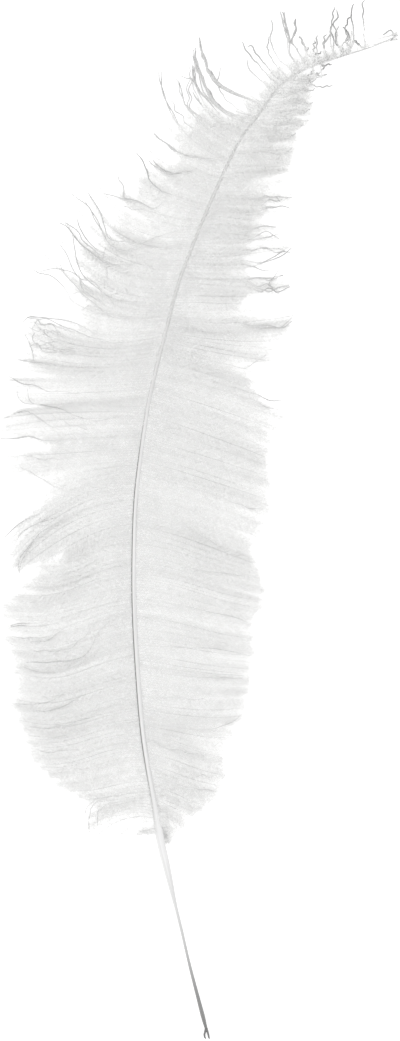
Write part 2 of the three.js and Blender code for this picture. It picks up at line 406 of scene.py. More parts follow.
RIGHT_PARTINGS = [
    0, 0, 0, 0, 0, 0, 0, 0, 0, 0, 0, 0.1, 0, 0.05, 0, 0.1, 0, 0, 0.1, 0.15, 0.15,
    0.2, 0.2, 0.3, 0, 0.9, 0.3, 0.4, 0.4, 0.2, 0.4, 0.2, 0.1, 0, 0, 0, 0,
]

# Along the shaft: the gap from one barb to the next, the share of their locks' length at which most
# barbs end, and how many of them go on past it as separate threads.
LEFT_SPACING = [(100, 2.1), (135, 1.75), (160, 1.55), (200, 1.55), (240, 1.35), (262, 1.15), (276, 1.25),
                (280, 1.55), (297, 1.55), (302, 1.2), (325, 1.4), (358, 1.4), (361, 1.35), (375, 1.35),
                (378, 1.3), (392, 1.3), (397, 1.25), (410, 1.35), (440, 1.3), (458, 1.5), (480, 1.35),
                (500, 1.15), (540, 0.95), (555, 1.5), (580, 3.5)]
LEFT_BODY = [(0, 1), (264, 1), (267, 0.83), (275, 0.83), (278, 1), (297, 1), (300, 0.82),
             (304, 0.82), (308, 1), (314, 1), (317, 0.84), (321, 0.84), (324, 1), (374.5, 1),
             (377, 0.78), (394, 0.8), (402, 0.84), (445, 0.84), (455, 0.76), (472, 0.74), (485, 0.62),
             (492, 0.42), (500, 0.27), (593, 0.2)]
LEFT_GOING_ON = [(110, 0.1), (380, 0.06), (470, 0.06), (490, 0.03)]
RIGHT_SPACING = [(105, 1.15), (124, 1.15), (140, 1.65), (158, 1.55), (162, 1.15), (172, 1.2), (176, 1.7),
                 (240, 1.7), (290, 1.5), (330, 1.4), (350, 1.3), (362, 1.3), (369, 1.05), (382, 1.05),
                 (386, 1.4), (450, 1.55), (470, 1.75), (540, 1.85), (560, 3)]
RIGHT_BODY = [(0, 1), (350, 1), (357, 0.94), (363, 0.94), (367, 1), (382, 1), (385, 0.88),
              (394, 0.86), (402, 0.72), (420, 0.66), (432, 0.72), (442, 0.8), (450, 0.72),
              (457, 0.88), (463, 1), (500, 1), (510, 0.9), (531, 0.74)]
RIGHT_GOING_ON = [(110, 0.1), (395, 0.1), (425, 0.25), (442, 0.25), (455, 0.1), (480, 0.02)]

# Along the shaft: how level the barbs leave it and end, how far their wisps stray, how much they frizz
# and clump, how long and how tangled their barbules are, how grey their parted tips are, partly as
# painted shade, how much painted shadow of the shaft lies on their roots, and how far their roots cover
# the shaft.
LEVELLING = [(110, 0), (150, 1), (260, 1), (277, 0.1), (335, 0)]
RIGHT_LEVELLING = 0.35  # what the right vane has of that
WISP_STRAY = [(110, 0.8), (320, 1.2), (385, 2.5), (400, 5), (480, 5), (593, 1)]
FRIZZ = [(110, 0.5), (150, 0.28), (440, 0.28), (480, 1.1), (560, 1.8)]
CLUMPING = [(110, 0.6), (150, 0.15), (450, 0.15), (485, 0.5), (593, 0.8)]
BARBULE_REACH = [(110, 3.6), (430, 3.8), (480, 3.6), (560, 3.2)]
TANGLE = [(110, 0.9), (145, 0.24), (440, 0.24), (480, 0.6), (500, 1)]
TIP_GREYNESS = [(110, 0.1), (240, 0.18), (330, 0.18), (385, 0.2), (560, 0.25)]
LEFT_ROOT_SHADOW = [(110, 0), (160, 0.06), (310, 0.07), (340, 0.06), (430, 0.05), (490, 0)]
RIGHT_ROOT_SHADOW = [(110, 0.03), (160, 0.06), (300, 0.06), (340, 0.08), (430, 0.1), (490, 0)]
ROOT_COVER = [(110, 0.1), (330, 0.2), (390, 0.6), (450, 0.5), (495, 1), (505, 2.4), (593, 2.4)]

# How many places a lock's line and a barb's path are worked out at, and the shaft to space the roots.
LOCK_PLACES = 65
BARB_PLACES = 18
ROOT_PLACES = 2000

# Where barbs root and which lock they belong to. The strays are shares of the gap between barbs and,
# for the rest, of the gap between locks.
PAST_END_LOCKS = 4  # how far below a vane's first lock and above its last one barbs still grow
ROOT_STRAY = 0.4
LOCK_STRAY = 0.08
WISP_STRAY_IN_LOCK = 0.035
WISPS_IN_LOCK = 3
WISP_SPREAD = 0.55  # how much of the way between two locks a lock's wisps still cover at its tip

# How long barbs are, as shares of their lock's length, and from where on they part.
FULL_REACH = 1.05  # how far the longest barbs reach
SHORTFALL = 0.05  # how much of that the shortest ones lack, and how much more where locks part
PARTED_SHORTFALL = 0.07
RAGGED = 1.3  # how unevenly barbs end that end short of their lock's tip
PARTING_LEAD = 0.12  # how far before its full share ends a lock starts to part
PARTING_END = 1.15
PARTS_AT_BODY = (0.75, 1)  # a barb that ends at less than this body share doesn't part at all

# How barbs lie. A share counts from a barb's root.
SAG_SHARE = 0.7  # a barb is down among those on the floor from this share on
PILE_HEIGHT = 2.2  # how deep the barbs lie over each other
PILE_FOOT = 0.3  # how high the lowest barbs lie
PILE_THINS = 0.45  # how much shallower the pile is at the barbs' tips
INTO_PILE = (0, 0.25)  # the shares over which barbs spread from one height into the pile
INTO_LINE = (0, 0.5)  # and over which they come into line with their locks
DRIFT = 0.4  # how far a barb's tip drifts from its own line
TURNS = (0.5, 1.3)  # how many waves the lowest barbs have, and frizzier ones have more
CLUMP_GAP = 4.5  # from one clump of barbs to the next, along the shaft
CLUMP_TURN = 7  # how far the clumps' waves turn over a barb's length, in radians
UNPARTED_STRAY = 0.15  # how much of its stray a wisp has where its lock doesn't part

# How stout barbs are and how grey, and what shares of their reach their barbules have at the root,
# gain past it, and lose where the barb parts and towards its tip.
BARB_SIDES = 3
BARB_ROOT_RADIUS = 0.24
BARB_TIP_RADIUS = 0.07
BARB_GREYNESS = 0.03
BARB_GREYNESS_SPREAD = 0.014
SPINE_GREYNESS = 0.04  # how much greyer a barb's spine is than its barbules
LEAST_TIP_GREYNESS = 0.3  # the least that a parted tip has of its greyness
TIPS_GREY = (0.35, 0.9)  # how far parted a barb is where its grey starts and where it is full
ROOT_SHADOW_FADES = (0.03, 0.3)  # the shares of a barb over which the painted shadow at its root fades
ROOT_FLUFF, FLUFF_GAINED, FLUFF_GROWS = 0.8, 0.2, (0, 0.3)
PARTED_FLUFF_LOSS = 0.85
TIP_FLUFF_LOSS, FLUFF_SHRINKS = 0.3, (0.85, 1)

# Some barbs are nearly bare and lie high, with a stouter and greyer spine that shows as a streak.
BARE_SHARE = 0.14
BARE_STOUTNESS = 0.25
BARE_SPINE, BARE_GREYS = 0.2, (0.15, 0.5)
BARE_HEIGHT, BARE_RISES = 1.2, (0.1, 0.4)

# A barbule's width, how far it leans out from its barb in radians, how steeply it rises and how far
# its leaf tilts out of level. Its length is a share of its reach, and its middle rises, its tip goes
# on forwards and its tip droops by shares of that length.
BARBULE_WIDTH = 0.22
BARBULE_LEAN = 0.85
BARBULE_RISE = 0.08
BARBULE_TILT = 0.5
BARBULE_LENGTHS = (0.55, 1.15)
MIDDLE_RISES, TIP_GOES_ON, TIP_DROOPS = 0.05, 0.12, 0.1
BUNCHES = 7  # how many knots of barbules a loose strand has
BUNCH_START = 7  # where in their wave the knots start at most, in radians
CLEAR_OF_FLOOR = 0.06  # how far everything stays off the floor
UP = np.array([0.0, 0.0, 1.0])

DOWN_WHITE = (0.95, 0.95, 0.945, 1)
# the grey that the strands' own grey, their painted shade and the painted shadow at barb roots all mix
# towards
STRAND_AND_SHADE_GREY = (0.22, 0.22, 0.22, 1)
MOTTLE_STRENGTH = 0.06

# Each piece of a vane: its name, the stretch of shaft that it grows from, and its barbules to a barb.
LEFT_PIECES = [
    ("left_vane_base", 0, 220, 340), ("left_vane_lower", 220, 320, 340),
    ("left_vane_upper", 320, 450, 340), ("tip_left", 450, 640, 250),
]
RIGHT_PIECES = [
    ("right_vane_lower", 0, 290, 320), ("right_vane_upper", 290, 430, 320),
    ("tip_right", 430, 640, 260),
]

dice = np.random.default_rng(41)


def lock_table(locks):
    """The locks as an array of root distance, tip x, tip y, bow and full share."""
    return np.array([lock if len(lock) == 5 else (*lock, USUAL_FULL_SHARE) for lock in locks])


def lock_lines(locks, share):
    """The middle line of each lock in plan, at the shares of its length: (locks, shares, 2).

    It is a quadratic Bezier curve from the root to the tip, and its control point is half-way, moved
    by twice the bow towards the plume's tip. Where the locks are levelled, one turn of a sine wave
    is added, as high as the drop over two pi, so that a drooping lock starts and ends level."""
    root = shaft_middle(locks[:, 0])[:, :2]
    tip = locks[:, 1:3]
    reach = tip - root
    to_plume_tip = unit(np.stack([-reach[:, 1], reach[:, 0]], -1)) * np.sign(reach[:, :1])
    bend = (root + tip) / 2 + 2 * locks[:, 3:4] * to_plume_tip
    s = share[None, :, None]
    bowed = (1 - s) ** 2 * root[:, None] + 2 * s * (1 - s) * bend[:, None] + s**2 * tip[:, None]
    level = along(LEVELLING, locks[:, 0]) * np.where(reach[:, 0] > 0, RIGHT_LEVELLING, 1)
    drop = np.maximum(-reach[:, 1], 0) * level / (2 * np.pi)
    return bowed + (drop[:, None] * np.sin(2 * np.pi * share))[..., None] * to_plume_tip[:, None]


def at_share(values, row, share):
    """A row's value at a share of the way along it, on a straight line from one place to the next."""
    step = share * (values.shape[1] - 1)
    before = np.minimum(step.astype(int), values.shape[1] - 2)
    to_next = (step - before).reshape(step.shape + (1,) * (values.ndim - 2))
    return values[row, before] * (1 - to_next) + values[row, before + 1] * to_next


def between_lines(lines, line, share):
    """The places at shares of the way along, on straight lines from the lower lock to the upper."""
    lower = np.minimum(line.astype(int), len(lines) - 2)
    upwards = (line - lower)[..., None]
    return at_share(lines, lower, share) * (1 - upwards) + at_share(lines, lower + 1, share) * upwards


def grow_barbs(locks, partings, spacing, body, going_on):
    """The barbs of one vane: paths (barbs, places, 3), how parted they are, and their roots.

    A barb starts between the lines of the locks below and above its root. Past the full share it
    closes on its own lock's line, or rather on one of the few wisps that the lock ends in, as far
    as the two locks part. It sags from the shaft to the pile on the floor, and waves on the way."""
    ends = locks[0, 0] - PAST_END_LOCKS, locks[-1, 0] + PAST_END_LOCKS
    fine_root = np.linspace(*ends, ROOT_PLACES)
    grown = np.concatenate([[0], np.cumsum(np.diff(fine_root) / along(spacing, fine_root[1:]))])
    count = int(grown[-1])
    each = (count, 1)
    numbers = np.arange(count) + dice.uniform(0, ROOT_STRAY, count)
    root = np.sort(np.interp(numbers, grown, fine_root))
    between = np.interp(root, locks[:, 0], np.arange(len(locks)))
    own = np.clip(np.round(between + dice.normal(0, LOCK_STRAY, count)), 0, len(locks) - 1)
    wisp = np.round((between - own) * WISPS_IN_LOCK) / WISPS_IN_LOCK
    closed = own + wisp * WISP_SPREAD + dice.normal(0, WISP_STRAY_IN_LOCK, count)
    parting = np.array(partings)[np.minimum(between.astype(int), len(partings) - 1)][:, None]

    goes_on = dice.uniform(0, 1, each) < along(going_on, root)[:, None]
    body_share = along(body, root)[:, None]
    falls_short = dice.uniform(0, 1, each)
    length_share = np.where(goes_on, 1, body_share * (1 - RAGGED * (1 - body_share) * falls_short))
    shortfall = falls_short * (SHORTFALL + PARTED_SHORTFALL * parting)
    length_share = length_share * (FULL_REACH - shortfall)
    parting = parting * np.where(goes_on, 1, smoothstep(body_share, *PARTS_AT_BODY))
    share = np.linspace(0, 1, BARB_PLACES)[None] * length_share
    full = locks[own.astype(int), 4][:, None]
    parted = np.sqrt(smoothstep(share, full - PARTING_LEAD, PARTING_END)) * parting
    line = np.clip(between[:, None] + (closed - between)[:, None] * parted, 0, len(locks) - 1)
    plan = between_lines(lock_lines(locks, np.linspace(0, 1, LOCK_PLACES)), line, share)
    shift = shaft_middle(root)[:, None, :2] - plan[:, :1]
    plan = plan + shift * (1 - smoothstep(share, *INTO_LINE))[..., None]

    heading = unit(np.gradient(plan, axis=1))
    side = np.stack([-heading[..., 1], heading[..., 0]], -1)
    strength = along(FRIZZ, root)[:, None]
    turns = dice.uniform(*TURNS, each) + strength - FRIZZ[0][1]
    wave = np.sin(2 * np.pi * (turns * share + dice.uniform(0, 1, each)))
    frizz = dice.normal(0, 1, each) * strength
    wisp_stray = dice.normal(0, 1, (len(locks), 2 * WISPS_IN_LOCK + 1))
    stray = wisp_stray[own.astype(int), (wisp * WISPS_IN_LOCK).astype(int) + WISPS_IN_LOCK]
    stray = (stray * along(WISP_STRAY, root))[:, None]
    stray = stray * (UNPARTED_STRAY + (1 - UNPARTED_STRAY) * parting)
    clump = np.sin(2 * np.pi * root[:, None] / CLUMP_GAP + CLUMP_TURN * share)
    waves = (frizz * wave + clump * along(CLUMPING, root)[:, None]) * share
    drift = (DRIFT * dice.normal(0, 1, each) + stray) * share**2 + waves
    plan = plan + side * drift[..., None]

    sag = smoothstep(share, 0, SAG_SHARE)
    covered = along(ROOT_COVER, root) * along(SHAFT_RADIUS, root)
    shaft_height = (shaft_middle(root)[:, 2] + covered)[:, None]
    pile = dice.uniform(0, 1, each) * PILE_HEIGHT * (1 - PILE_THINS * share) + PILE_FOOT
    height = shaft_height * (1 - sag) + pile * smoothstep(share, *INTO_PILE)
    return np.concatenate([plan, height[..., None]], -1), parted, root


def barbules(paths, reach, dark, tangle, bunching, count):
    """Barbules on both sides of many barbs: thin leaves of two triangles, folded at the middle.

    A barbule leaves its barb forwards and outwards at a lean, rises a little to its middle and
    droops to its tip. Its middle is as wide as a barbule, and both its ends are points. A sine of
    the place along the barb, as strong as the bunching, draws the barbules together in knots."""
    barbs, places = reach.shape
    barb_length = np.linalg.norm(np.diff(paths, axis=1), axis=-1).sum(axis=1)
    share = (np.arange(count) + dice.uniform(0, 1, (barbs, count))) / count
    bunches = 2 * np.pi * BUNCHES
    start = dice.uniform(0, BUNCH_START, (barbs, 1))
    share = np.clip(share - bunching * np.sin(bunches * share + start) / bunches, 0, 1)
    barb = np.arange(barbs)[:, None]
    base = at_share(paths, barb, share)
    length = at_share(reach, barb, share)
    tone = at_share(dark, barb, share)
    before = np.minimum((share * (places - 1)).astype(int), places - 2)
    heading = unit(paths[barb, before + 1] - paths[barb, before])
    left = level_across(heading)

    shape = (barbs, count, 2)
    sign = np.array([1.0, -1.0])[None, None, :, None]
    lean = BARBULE_LEAN + (dice.normal(0, 1, shape) * tangle[:, :, None])[..., None]
    rise = BARBULE_RISE + (dice.normal(0, 1, shape) * tangle[:, :, None])[..., None]
    out = unit(heading[:, :, None] * np.cos(lean) + sign * left[:, :, None] * np.sin(lean) + rise * UP)
    long = (length[..., None] * dice.uniform(*BARBULE_LENGTHS, shape))[..., None]
    across = unit(level_across(out) + UP * dice.normal(0, BARBULE_TILT, shape)[..., None])
    base = np.broadcast_to(base[:, :, None], out.shape)
    middle = base + out * long / 2 + UP * long * MIDDLE_RISES
    tip = base + out * long + heading[:, :, None] * long * TIP_GOES_ON - UP * long * TIP_DROOPS
    half = across * BARBULE_WIDTH / 2
    corners = np.stack([base, middle - half, tip, middle + half], -2)
    tones = np.broadcast_to(tone[:, :, None, None], (*shape, 4))
    grown = dice.uniform(0, 1, (barbs, count)) < (barb_length / barb_length.max())[:, None]
    corners = corners[grown].reshape(-1, 3)
    corners[:, 2] = np.maximum(corners[:, 2], CLEAR_OF_FLOOR)
    first = np.arange(len(corners) // 4)[:, None, None] * 4
    triangles = (first + np.array([[0, 1, 3], [1, 2, 3]])).reshape(-1, 3)
    return corners, triangles, tones[grown].reshape(-1)


def down():
    """Soft white keratin, greyer where a strand parts from the rest, partly as painted shade, darker with
    painted shadow at the barbs' roots, and mottled a little.
    """
    material, start = new_material("white_down")
    dark = start.node("ShaderNodeAttribute", {"attribute_name": "dark"}, {}, "Fac")
    place = start.node("ShaderNodeTexCoord", {}, {}, "Object")
    mottle = start.node("ShaderNodeTexNoise", {}, {"Vector": place, "Scale": 60, "Detail": 2})
    colour = (dark + MOTTLE_STRENGTH * mottle).mixed(DOWN_WHITE, STRAND_AND_SHADE_GREY)
    give_surface(start, {
        "Base Color": colour, "Roughness": 0.75, "Specular IOR Level": 0.2, "Sheen Weight": 0.15,
    })
    return material


white_down = down()


def make_barbs(name, paths, thick, reach, dark, spine, tangle, bunching, count):
    """One piece of barbs with their barbules. A spine is greyer than its barbules by `spine`."""
    paths = paths.copy()
    paths[..., 2] = np.maximum(paths[..., 2], CLEAR_OF_FLOOR + thick)
    strands, strand_triangles = tubes(paths, thick, BARB_SIDES)
    leaves, leaf_triangles, leaf_tones = barbules(paths, reach, dark, tangle, bunching, count)
    corners = np.vstack([strands, leaves])
    triangles = np.vstack([strand_triangles, leaf_triangles + len(strands)])
    strand_tones = np.repeat(np.clip(dark + spine, 0, 1).ravel(), BARB_SIDES)
    return make_piece(name, corners, triangles, white_down, "barbs",
                      dark=np.concatenate([strand_tones, leaf_tones]))


def make_vane(locks, partings, spacing, body, going_on, root_shadow, pieces):
    """One side's barbs, as a piece for each row of `pieces`."""
    paths, parted, root = grow_barbs(lock_table(locks), partings, spacing, body, going_on)
    each = (len(root), 1)
    share = np.linspace(0, 1, BARB_PLACES)[None]
    taper = BARB_ROOT_RADIUS + (BARB_TIP_RADIUS - BARB_ROOT_RADIUS) * share
    reach = along(BARBULE_REACH, root)[:, None]
    reach = reach * (ROOT_FLUFF + FLUFF_GAINED * smoothstep(share, *FLUFF_GROWS))
    reach = reach * (1 - PARTED_FLUFF_LOSS * parted)
    reach = reach * (1 - TIP_FLUFF_LOSS * smoothstep(share, *FLUFF_SHRINKS))
    tone = np.clip(BARB_GREYNESS + dice.normal(0, BARB_GREYNESS_SPREAD, each), 0, 1)
    # the parted tips' grey is partly their own and partly painted shade
    grey = along(TIP_GREYNESS, root)[:, None] * dice.uniform(LEAST_TIP_GREYNESS, 1, each)
    # painted shadow of the shaft on the barbs' roots
    root_shadow_grey = along(root_shadow, root)[:, None] * (1 - smoothstep(share, *ROOT_SHADOW_FADES))
    dark = tone + grey * smoothstep(parted, *TIPS_GREY) + root_shadow_grey
    bare = dice.uniform(0, 1, each) < BARE_SHARE
    spine = SPINE_GREYNESS + bare * BARE_SPINE * smoothstep(share, *BARE_GREYS)
    thick = taper * (1 + BARE_STOUTNESS * bare)
    tangle = along(TANGLE, root)[:, None]
    paths[..., 2] += bare * BARE_HEIGHT * smoothstep(share, *BARE_RISES)
    made = []
    for name, first, last, count in pieces:
        here = (root >= first) & (root < last)
        made.append(make_barbs(name, paths[here], thick[here], reach[here], dark[here], spine[here],
                               tangle[here], 0, count))
    return made


left_pieces = make_vane(LEFT_LOCKS, LEFT_PARTINGS, LEFT_SPACING, LEFT_BODY, LEFT_GOING_ON,
                        LEFT_ROOT_SHADOW, LEFT_PIECES)
make_vane(RIGHT_LOCKS, RIGHT_PARTINGS, RIGHT_SPACING, RIGHT_BODY, RIGHT_GOING_ON,
          RIGHT_ROOT_SHADOW, RIGHT_PIECES)
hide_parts("feather")


# ------------------------------------------------------------------ loose strands
# Some barbs have lost most of their barbules and part from the locks as single threads. Their dark grey
# is partly the bare spine's own grey and partly painted shade, the look of thin threads against the
# bright table. Their outer stretches lie over the vanes or stand out past the edge, and they root among
# the others.

# Each loose strand: how grey it is, how many threads it has, and its outer stretch from its tip in.
LEFT_STRANDS = [
    (0.5, 1, [(68, 260.5), (67, 254.5), (65, 251), (66, 245), (68, 243.5), (64, 241)]),
    (0.6, 1, [(68.5, 263), (68, 258), (70, 252), (69.5, 247.5), (71.5, 246), (68, 244)]),
    (0.5, 1, [(73, 261.5), (72, 257), (73, 252), (75, 249), (79, 250), (81, 254.5), (80.5, 259.5)]),
    (0.5, 1, [(76.5, 260.5), (77.5, 254.5), (74.5, 252), (76, 249), (79.5, 248.5)]),
    (0.6, 1, [(77, 261.5), (80, 258), (78, 253.5), (80, 250.5)]),
    (0.5, 1, [(82.5, 254.5), (84.5, 251.5), (87, 250.5), (87.5, 253.5)]),
    (0.45, 1, [(63.5, 245), (65.5, 241.5), (63, 239), (61, 237), (64.5, 235)]),
    (0.45, 1, [(60.5, 239), (57.5, 235.5), (58.5, 232.5), (61.5, 234.5), (60, 237.5)]),
    (0.5, 1, [(70, 242), (67, 240.5), (64.5, 241.5), (68, 244.5)]),
    (0.4, 1, [(61, 255.5), (60.5, 250), (61.5, 241.5)]),
    (0.35, 1, [(68, 235.5), (63.5, 235), (60, 236)]),
    (0.5, 1, [(96.5, 257.5), (100, 259.5), (102.5, 256.5), (104.5, 255)]),
    (0.6, 1, [(100.5, 254), (103.5, 256.5), (104.5, 258)]),
    (0.5, 1, [(73, 249.5), (71, 246.5), (73.5, 245), (76.5, 248)]),
    (0.45, 1, [(64.5, 248.5), (62.5, 245.5), (64.5, 243.5), (67.5, 246.5)]),
    (0.6, 1, [(69.5, 272), (68.5, 263.5), (68, 257), (69, 250), (71, 247)]),
    (0.5, 1, [(66.5, 258.5), (65.5, 252.5), (66.5, 247), (64, 244)]),
    (0.6, 1, [(73.5, 270.5), (73, 266.5), (71.5, 263.5), (72.5, 258.5), (73, 253), (74.5, 248.5)]),
    (0.65, 1, [(82, 274.5), (80, 270), (81, 263.5), (81.5, 257), (81, 251.5), (79, 248.5)]),
    (0.7, 1, [(80.5, 268), (77, 261.5), (76.5, 258.5), (79, 255), (78, 251.5), (79.5, 248.5)]),
    (0.55, 1, [(87, 274.5), (86, 271), (86.5, 262.5), (87, 253), (87.5, 250.5)]),
    (0.6, 1, [(82.5, 255), (84.5, 252), (87, 250)]),
    (0.5, 1, [(61, 257.5), (61, 251.5), (62, 242.5)]),
    (0.4, 1, [(57, 252), (58, 247), (60, 244), (59.5, 242)]),
    (0.5, 1, [(59, 245.5), (62, 247), (64, 244.5), (61.5, 242), (64.5, 243)]),
    (0.5, 1, [(65, 248.5), (68, 245.5), (70.5, 247), (69, 244)]),
    (0.45, 1, [(74, 252.5), (76.5, 249.5), (78, 247), (75.5, 246.5)]),
    (0.35, 2, [(52, 257), (55.5, 249), (55, 242.5)]),
    (0.45, 2, [(50.5, 266), (50.5, 258.5), (48.5, 254), (51.5, 249), (55, 241.5)]),
    (0.4, 3, [(44, 270), (46, 260.5), (47.5, 253.5), (47.5, 247.5), (52, 240)]),
    (0.4, 1, [(39, 266), (40, 261.5), (38.5, 256.5), (40, 249.5), (43, 243.5), (48, 239)]),
    (0.35, 1, [(36, 256.5), (35, 251), (37, 245.5), (40.5, 240), (45.5, 234.5)]),
    (0.5, 1, [(25.5, 251.5), (27, 252), (30.5, 247), (36, 240), (40, 234.5), (44, 233.5)]),
    (0.5, 1, [(21, 254), (25.5, 247), (30.5, 241.5), (35, 236), (40.5, 230.5)]),
    (0.3, 1, [(25.5, 244), (25.5, 240), (29.5, 235.5), (34, 231), (37, 226.5)]),
    (0.28, 5, [(0, 255.5), (0.5, 249.5), (3, 242.5), (5, 236.5), (12.5, 229), (28, 222), (32.5, 218)]),
    (0.28, 5, [(-2.5, 249.5), (-2, 243.5), (2, 233), (5, 225), (13, 216.5), (26.5, 212.5)]),
    (0.24, 4, [(4.5, 238.5), (9, 232), (17.5, 226.5), (28, 222), (34.5, 217.5)]),
    (0.24, 4, [(3.5, 229), (8, 221), (15.5, 215.5), (26.5, 212.5)]),
    (0.35, 3, [(-3.5, 241), (-3, 233.5), (-0.5, 228), (3.5, 223.5), (7.5, 218), (11, 213.5)]),
    (0.25, 2, [(-4.5, 235), (-7, 229.5), (-5.5, 224), (-6.5, 220.5), (-3.5, 216.5), (2, 212.5)]),
    (0.25, 2, [(-11.5, 233.5), (-10, 227.5), (-8, 221), (-4, 215.5), (2, 209)]),
    (0.35, 2, [(-21.5, 238), (-21.5, 231.5), (-18.5, 223.5), (-15.5, 216.5), (-12.5, 210.5),
        (-8.5, 206)]),
    (0.25, 1, [(-14.5, 224), (-11.5, 218.5), (-8, 214.5), (-4.5, 209), (-2, 206)]),
    (0.3, 1, [(-2.5, 227.5), (0, 222), (5, 216), (11.5, 211.5), (16, 209)]),
    (0.3, 1, [(-10.5, 237), (-7.5, 236.5), (-4.5, 235.5), (-2, 231.5), (0.5, 226)]),
    (0.3, 1, [(-5.5, 240.5), (-4.5, 235.5), (-3.5, 231), (-1, 224.5)]),
    (0.25, 1, [(10.5, 239.5), (8.5, 234.5), (9.5, 229.5), (12, 224.5), (18.5, 218.5)]),
    (0.25, 1, [(0.5, 238), (1.5, 233), (3, 227), (7, 221.5)]),
    (0.3, 2, [(-23, 206), (-15, 199), (-5.5, 193.5), (13, 191)]),
    (0.3, 2, [(-27.5, 192), (-22.5, 187), (-16, 184), (-2.5, 186)]),
    (0.6, 1, [(-33.5, 195), (-30, 189.5), (-26.5, 180.5), (-21, 175), (-12.5, 172)]),
    (0.35, 1, [(-43.5, 183.5), (-40.5, 176.5), (-39.5, 170.5), (-33, 169), (-24, 165), (-17.5, 169.5)]),
    (0.3, 1, [(-51, 173.5), (-42, 171), (-33, 169.5)]),
    (0.3, 1, [(-40.5, 166.5), (-36, 165), (-29, 165)]),
    (0.4, 1, [(-58.5, 173.5), (-52.5, 164), (-49.5, 155), (-47.5, 149.5), (-42, 148), (-33, 148)]),
    (0.35, 1, [(-66.5, 173.5), (-58.5, 166.5), (-53, 157.5), (-48.5, 148.5), (-42, 144),
        (-33, 145.5), (-24, 150), (-11.5, 153.5)]),
    (0.3, 1, [(-60.5, 170.5), (-55, 162), (-51.5, 153.5), (-46.5, 145.5), (-39, 143)]),
    (0.5, 1, [(-75.5, 157.5), (-71.5, 156), (-66.5, 150.5), (-59.5, 143), (-51, 137),
        (-40.5, 135.5), (-34, 137)]),
    (0.4, 1, [(-71, 156.5), (-65.5, 152.5), (-59.5, 145), (-52.5, 139.5), (-44.5, 138)]),
    (0.5, 1, [(-64, 159.5), (-61, 151.5), (-56.5, 145.5), (-51, 141.5)]),
    (0.35, 1, [(-76, 147.5), (-72, 140.5), (-66.5, 131.5), (-64, 127), (-57.5, 120.5), (-51, 114)]),
    (0.45, 1, [(-68.5, 151.5), (-67.5, 144), (-65.5, 136), (-62, 129.5), (-54, 122.5),
        (-47.5, 118), (-37.5, 116)]),
    (0.4, 1, [(-51, 136), (-50, 131.5), (-52, 124)]),
    (0.3, 1, [(-50, 145), (-51.5, 140.5), (-50.5, 136)]),
    (0.4, 1, [(-88, 133), (-84.5, 130.5), (-78.5, 129.5), (-73, 125), (-69, 119.5), (-67.5, 116)]),
    (0.3, 1, [(-84.5, 130.5), (-75.5, 132), (-68.5, 130.5), (-63, 127), (-56.5, 125),
        (-51, 119.5), (-46.5, 114)]),
    (0.25, 1, [(-65.5, 130.5), (-64.5, 125), (-63, 120.5), (-56.5, 116), (-51, 112.5), (-44, 111.5)]),
    (0.25, 1, [(-74, 137), (-65.5, 125.5), (-57, 117), (-49, 110.5), (-37, 107.5)]),
    (0.25, 1, [(-67, 120.5), (-62.5, 121.5), (-58.5, 119), (-60.5, 115.5)]),
    (0.2, 1, [(-59.5, 129.5), (-54.5, 126), (-50.5, 121), (-43.5, 117), (-34.5, 114)]),
    (0.2, 1, [(-61.5, 113.5), (-55.5, 115.5), (-50, 111.5), (-40.5, 108)]),
    (0.25, 1, [(-90, 107.5), (-80.5, 107.5), (-73, 104.5), (-59.5, 98.5), (-40, 93)]),
    (0.4, 1, [(-93, 99), (-90.5, 95), (-88.5, 89), (-87.5, 84.5), (-82.5, 84)]),
    (0.4, 1, [(-93, 105), (-90, 108), (-85, 108), (-79, 107.5), (-67.5, 105.5), (-55.5, 99.5)]),
    (0.35, 1, [(-89.5, 101), (-87, 105.5), (-85, 103.5), (-79, 103), (-76, 99.5), (-72.5, 97)]),
    (0.3, 1, [(-90.5, 103), (-87.5, 101), (-88.5, 97.5), (-85.5, 94), (-79.5, 93)]),
    (0.35, 1, [(-88, 105), (-84.5, 100.5), (-81.5, 98), (-78.5, 95.5), (-71, 94)]),
    (0.15, 1, [(-90, 103), (-86, 101), (-81.5, 102), (-77, 99.5), (-71, 98)]),
    (0.15, 1, [(-90.5, 99.5), (-86.5, 97.5), (-82, 98.5), (-77.5, 95.5), (-70, 94)]),
    (0.15, 1, [(-90, 95), (-86, 93.5), (-81, 94.5), (-76, 92), (-69, 91)]),
    (0.15, 1, [(-89, 91), (-84.5, 90.5), (-79.5, 90), (-74, 88), (-67, 87.5)]),
    (0.15, 1, [(-88, 105.5), (-83.5, 103.5), (-79.5, 105), (-74, 102), (-68, 100.5)]),
    (0.15, 1, [(-87, 101.5), (-82.5, 99.5), (-78.5, 100.5), (-73, 97.5), (-65.5, 95.5)]),
    (0.15, 1, [(-88.5, 93), (-83.5, 92), (-78.5, 92.5), (-72, 90), (-64.5, 89.5)]),
    (0.15, 1, [(-86, 97.5), (-81.5, 95.5), (-77.5, 96.5), (-71, 93.5), (-63.5, 92.5)]),
    (0.3, 1, [(-91.5, 93), (-88.5, 95), (-85, 91), (-81, 90), (-74, 90.5)]),
    (0.3, 1, [(-97, 69), (-96.5, 64.5), (-92.5, 61.5), (-87, 61)]),
    (0.3, 1, [(-92, 69.5), (-90.5, 63), (-86, 61.5)]),
    (0.35, 1, [(-100.5, 86), (-94.5, 85.5), (-87, 84), (-74, 82)]),
    (0.45, 1, [(-102, 76), (-95.5, 73.5), (-88, 71), (-76.5, 68)]),
    (0.35, 1, [(-88.5, 61.5), (-80.5, 60.5), (-74, 59), (-63.5, 54.5), (-54, 52.5), (-42.5, 55)]),
    (0.25, 1, [(-78.5, 57.5), (-69, 52), (-58.5, 49), (-46.5, 48.5)]),
